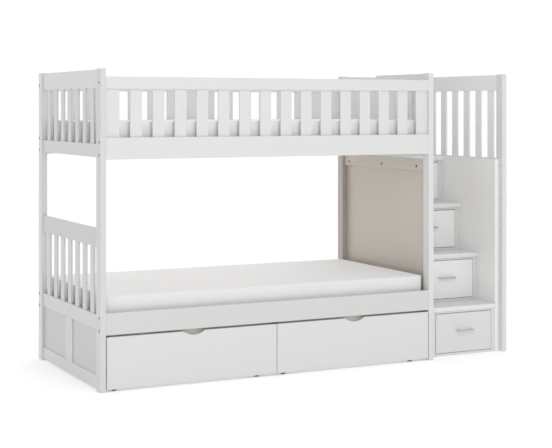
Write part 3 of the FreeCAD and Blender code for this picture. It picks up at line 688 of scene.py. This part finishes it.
def make_mattress(name, fabric):
    """A padded cover in the place of a mattress node, with a sewn cord round its upper and lower edges."""
    low, high = (Vector(place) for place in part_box(name))
    low += Vector((COVER_INSET, COVER_INSET, COVER_LIFT))
    high -= Vector((COVER_INSET, COVER_INSET, COVER_INSET))
    mesh, rings = cover_shape(low, high)
    resting = [vertex.index for vertex in mesh.verts if vertex.co.z < low.z + COVER_LIFT]
    cover = finished_piece(name + "_cover", mesh, fabric)
    swell(cover, resting)
    for side, ring in zip(("lower", "upper"), rings):
        places = [cover.data.vertices[index].co.copy() for index in ring]
        cord = seam_cord("%s_%s_seam" % (name, side), places, fabric)
        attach(cord, "bed_frame")
    smooth = cover.modifiers.new("smooth", "SUBSURF")
    smooth.levels = 1
    smooth.render_levels = 1
    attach(cover, "bed_frame")
    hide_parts(name)


def screw_heads(name, body, places, out, size):
    """Domed screw heads with sunk drives, one at each place, standing out along one way."""
    mesh = bmesh.new()
    turned = Vector(out).to_track_quat("Z", "Y")
    radius, tall = size
    for place in places:
        rings = []
        for wide, high in HEAD_RINGS[:-1]:
            ring = []
            for side in range(HEAD_SIDES):
                turn = 2 * math.pi * side / HEAD_SIDES
                spot = Vector((math.cos(turn) * wide * radius, math.sin(turn) * wide * radius, high * tall))
                ring.append(mesh.verts.new(Vector(place) + turned @ spot))
            rings.append(ring)
        for lower, upper in zip(rings, rings[1:]):
            join_rings(mesh, lower, upper)
        centre = mesh.verts.new(Vector(place) + turned @ Vector((0, 0, HEAD_RINGS[-1][1] * tall)))
        for side in range(HEAD_SIDES):
            mesh.faces.new((rings[-1][side], rings[-1][(side + 1) % HEAD_SIDES], centre))
        mesh.faces.new(list(reversed(rings[0])))
    heads = finished_piece(name, mesh, bpy.data.materials["black_oxide"])
    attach(heads, body)


def make_screws():
    """The screws of the caster plates, of the pulls and of the cleats."""
    for side in ("left", "right"):
        low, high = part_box("%s_drawer_caster_forks" % side)
        places = []
        for x in (low[0] + PLATE_HALF[0], high[0] - PLATE_HALF[0]):
            for y in (low[1] + PLATE_HALF[1], high[1] - PLATE_HALF[1]):
                for off_x in (-PLATE_SCREW_OFF[0], PLATE_SCREW_OFF[0]):
                    for off_y in (-PLATE_SCREW_OFF[1], PLATE_SCREW_OFF[1]):
                        places.append((x + off_x, y + off_y, high[2] - PLATE_THICK))
        screw_heads("%s_drawer_plate_screws" % side, "%s_drawer" % side, places, (0, 0, -1), PLATE_SCREW)
    for number in range(1, STAIR_DRAWERS + 1):
        body = "stair_drawer_%d" % number
        low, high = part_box(body + "_front")
        middle = (low[0] + high[0]) / 2
        places = []
        for off in (-PULL_HALF_SPREAD, PULL_HALF_SPREAD):
            places.append((middle + off, high[1], high[2] - PULL_DROP))
        screw_heads(body + "_pull_screws", body, places, (0, 1, 0), PULL_SCREW)
    low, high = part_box("slat_cleats")
    for name, y, out in (("front", low[1] + CLEAT_SIDE, 1), ("back", high[1] - CLEAT_SIDE, -1)):
        places = []
        for z in (low[2] + CLEAT_SIDE / 2, high[2] - CLEAT_SIDE / 2):
            for place in range(CLEAT_SCREWS):
                x = low[0] + (high[0] - low[0]) * (place + 0.5) / CLEAT_SCREWS
                places.append((x, y, z))
        screw_heads("%s_cleat_screws" % name, "bed_frame", places, (0, out, 0), CLEAT_SCREW)


def make_floor():
    """A wide pale floor that glows a little, as a lit studio sweep does."""
    material, tree, shader = new_material("studio_floor")
    shader.inputs["Base Color"].default_value = FLOOR_COLOR
    shader.inputs["Roughness"].default_value = FLOOR_ROUGHNESS
    shader.inputs["Specular IOR Level"].default_value = FLOOR_GLOSS
    shader.inputs["Emission Color"].default_value = WHITE
    shader.inputs["Emission Strength"].default_value = FLOOR_GLOW
    data = bpy.data.meshes.new("studio_floor")
    half = FLOOR_REACH / 2
    corners = [(-half, -half, 0), (half, -half, 0), (half, half, 0), (-half, half, 0)]
    data.from_pydata(corners, [], [(0, 1, 2, 3)])
    data.materials.append(material)
    floor = bpy.data.objects.new("studio_floor", data)
    bpy.context.scene.collection.objects.link(floor)


def make_lights():
    """A surround that is brighter behind, above and right of the bed and seen as white, and a front light."""
    world = bpy.data.worlds.new("studio")
    bpy.context.scene.world = world
    world.use_nodes = True
    tree = world.node_tree
    way = node(tree, "ShaderNodeTexCoord").outputs["Generated"]
    parts = node(tree, "ShaderNodeSeparateXYZ", Vector=way).outputs
    lit = remap(tree, parts["Y"], WHOLE, (SKY_LIGHT, SKY_LIGHT + SKY_BEHIND))
    for axis, most in (("X", SKY_RIGHT), ("Z", SKY_TOP)):
        lit = calculation(tree, "ADD", lit, remap(tree, parts[axis], WHOLE, (0.0, most)))
    seen = node(tree, "ShaderNodeLightPath").outputs["Is Camera Ray"]
    strength = node(tree, "ShaderNodeMix", Factor=seen, A=lit, B=SKY_SEEN)
    background = tree.nodes["Background"]
    background.inputs["Color"].default_value = WHITE
    tree.links.new(strength.outputs["Result"], background.inputs["Strength"])
    data = bpy.data.lights.new("key", "AREA")
    data.shape = "SQUARE"
    data.size = KEY_SIZE
    data.energy = KEY_POWER
    key = bpy.data.objects.new("key", data)
    key.location = KEY_PLACE
    aim = Vector(KEY_AIM) - Vector(KEY_PLACE)
    key.rotation_euler = aim.to_track_quat("-Z", "Y").to_euler()
    bpy.context.scene.collection.objects.link(key)


def make_camera():
    """The photograph's camera: level, so uprights stay upright, with the frame shifted down."""
    data = bpy.data.cameras.new("camera")
    data.sensor_fit = "HORIZONTAL"
    data.sensor_width = SENSOR_WIDE
    data.lens = FOCAL_PIXELS * SENSOR_WIDE / PHOTO_WIDE
    data.shift_y = (HORIZON_ROW - (PHOTO_HIGH - 1) / 2) / PHOTO_WIDE
    camera = bpy.data.objects.new("camera", data)
    camera.location = CAMERA_PLACE
    camera.rotation_euler = (math.radians(90), 0.0, CAMERA_YAW)
    bpy.context.scene.collection.objects.link(camera)
    bpy.context.scene.camera = camera


make_camera()
make_lights()
make_floor()
dress_nodes()
fabric = cover_fabric()
make_mattress("lower_mattress", fabric)
make_mattress("upper_mattress", fabric)
make_screws()
bpy.context.scene.view_settings.view_transform = "Standard"
